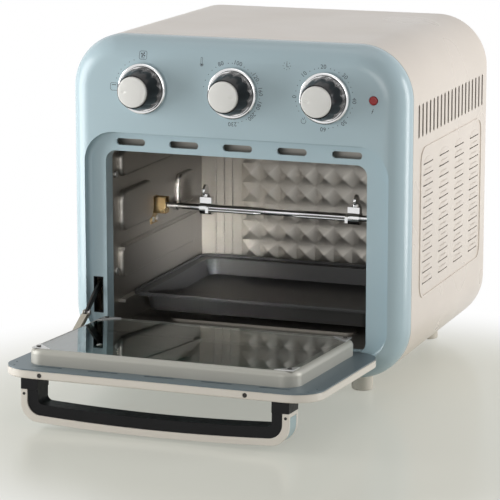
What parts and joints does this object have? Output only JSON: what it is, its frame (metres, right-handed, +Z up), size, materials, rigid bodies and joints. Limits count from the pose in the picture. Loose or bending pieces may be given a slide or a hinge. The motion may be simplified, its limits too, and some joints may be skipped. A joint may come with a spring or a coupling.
{
  "type": "air fryer oven",
  "caption": "Countertop air fryer oven with rounded steel cabinet, drop-down glass door, rotary knobs, rotisserie spit, tray, heater and fan.",
  "frame": {"origin": "on the surface it stands on, under the middle of the whole oven with its door open", "axes": "+X right seen from the front, +Y to the back, +Z up; the door opens to -Y"},
  "size_m": [0.3316, 0.475, 0.323],
  "materials": {
    "bezel_blue": "pale blue, high gloss",
    "cream_steel": "warm white enamel, satin gloss",
    "cream_plastic": "warm white, satin",
    "blue_trim": "grey blue, gloss",
    "black_plastic": "black, fine satin",
    "grey_frame": "warm grey, satin",
    "plate_grey": "blue grey enamel, gloss",
    "tempered_glass": "clear, polished",
    "chrome": "mirror",
    "cap_white": "warm white, satin gloss",
    "chamber_steel": "aluminised, semi matt",
    "zinc": "zinc plated",
    "non_stick": "dark non-stick, satin",
    "bronze_steel": "yellow passivated",
    "heater": "dark, heat tinted",
    "lens_red": "clear dark red",
    "lamp_glass": "clear",
    "unit_plastic": "natural, matt",
    "arm_steel": "dark grey, satin"
  },
  "bodies": {
    "root": {"front_bezel": "bezel_blue", "cabinet_sleeve": "cream_steel", "base_plate": "zinc", "feet": "cream_plastic", "rear_panel": "cream_steel", "case_screws": "zinc", "cord_gland": "black_plastic", "terminal_block": "unit_plastic", "chamber_left_wall": "chamber_steel", "chamber_right_wall": "chamber_steel", "chamber_floor": "chamber_steel", "chamber_roof": "chamber_steel", "fan_guard": "chamber_steel", "heater_coil": "heater", "fan_motor": "zinc", "spit_bracket": "bronze_steel", "gear_motor": "zinc", "baking_tray": "non_stick", "mode_switch": "unit_plastic", "thermostat": "unit_plastic", "timer": "unit_plastic", "indicator_lens": "lens_red", "indicator_lamp": "lamp_glass", "hinge_brackets": "zinc", "hinge_pins": "zinc", "stay_bush": "black_plastic"},
    "door": {"door_shell": "cream_plastic", "door_face": "bezel_blue", "door_plate": "plate_grey", "door_frame": "grey_frame", "inner_glass": "tempered_glass", "outer_glass": "tempered_glass", "corner_clips": "zinc", "door_screws": "zinc", "handle_core": "black_plastic", "handle_cover": "cream_plastic", "handle_inlay": "blue_trim", "stay_strut": "zinc", "stay_rivet": "zinc"},
    "stay_arm": {"stay_arm": "arm_steel"},
    "mode_knob": {"mode_knob": "black_plastic", "mode_knob_cap": "cap_white", "mode_knob_skirt": "chrome", "mode_knob_shaft": "zinc"},
    "thermostat_knob": {"thermostat_knob": "black_plastic", "thermostat_knob_cap": "cap_white", "thermostat_knob_skirt": "chrome", "thermostat_knob_shaft": "zinc"},
    "timer_knob": {"timer_knob": "black_plastic", "timer_knob_cap": "cap_white", "timer_knob_skirt": "chrome", "timer_knob_shaft": "zinc"},
    "spit": {"spit_rod": "chrome", "drive_socket": "zinc"},
    "left_fork": {"left_fork": "chrome", "left_thumbscrew": "chrome"},
    "right_fork": {"right_fork": "chrome", "right_thumbscrew": "chrome"},
    "fan": {"fan_impeller": "zinc", "fan_shaft": "zinc"}
  },
  "joints": [
    {"name": "door_hinge", "type": "hinge", "parent": "root", "child": "door", "pos_m": [0, -0.03753, 0.0324], "axis": [-1, 0, 0], "range_deg": [0, 87.3]},
    {"name": "stay_arm_pivot", "type": "hinge", "parent": "door", "child": "stay_arm", "pos_m": [-0.141, -0.05493, 0.0621], "axis": [-1, 0, 0], "range_deg": [-87.3, 0]},
    {"name": "mode_turn", "type": "hinge", "parent": "root", "child": "mode_knob", "pos_m": [-0.0889, -0.03753, 0.2752], "axis": [0, 1, 0], "range_deg": [0, 90]},
    {"name": "thermostat_turn", "type": "hinge", "parent": "root", "child": "thermostat_knob", "pos_m": [0, -0.03753, 0.2752], "axis": [0, 1, 0], "range_deg": [-108, 90]},
    {"name": "timer_turn", "type": "hinge", "parent": "root", "child": "timer_knob", "pos_m": [0.0889, -0.03753, 0.2752], "axis": [0, 1, 0], "range_deg": [-47, 272]},
    {"name": "spit_turn", "type": "hinge", "parent": "root", "child": "spit", "pos_m": [0, 0.09247, 0.1405], "axis": [1, 0, 0], "continuous": true},
    {"name": "left_fork_slide", "type": "slide", "parent": "spit", "child": "left_fork", "axis": [1, 0, 0], "range_m": [-0.024, 0.012]},
    {"name": "right_fork_slide", "type": "slide", "parent": "spit", "child": "right_fork", "axis": [1, 0, 0], "range_m": [-0.012, 0.027]},
    {"name": "fan_turn", "type": "hinge", "parent": "root", "child": "fan", "pos_m": [-0.00315, 0.11247, 0.249], "axis": [0, 0, 1], "continuous": true}
  ],
  "couplings": [
    {"joint": "stay_arm_pivot", "follows": "door_hinge", "ratio": -1}
  ]
}
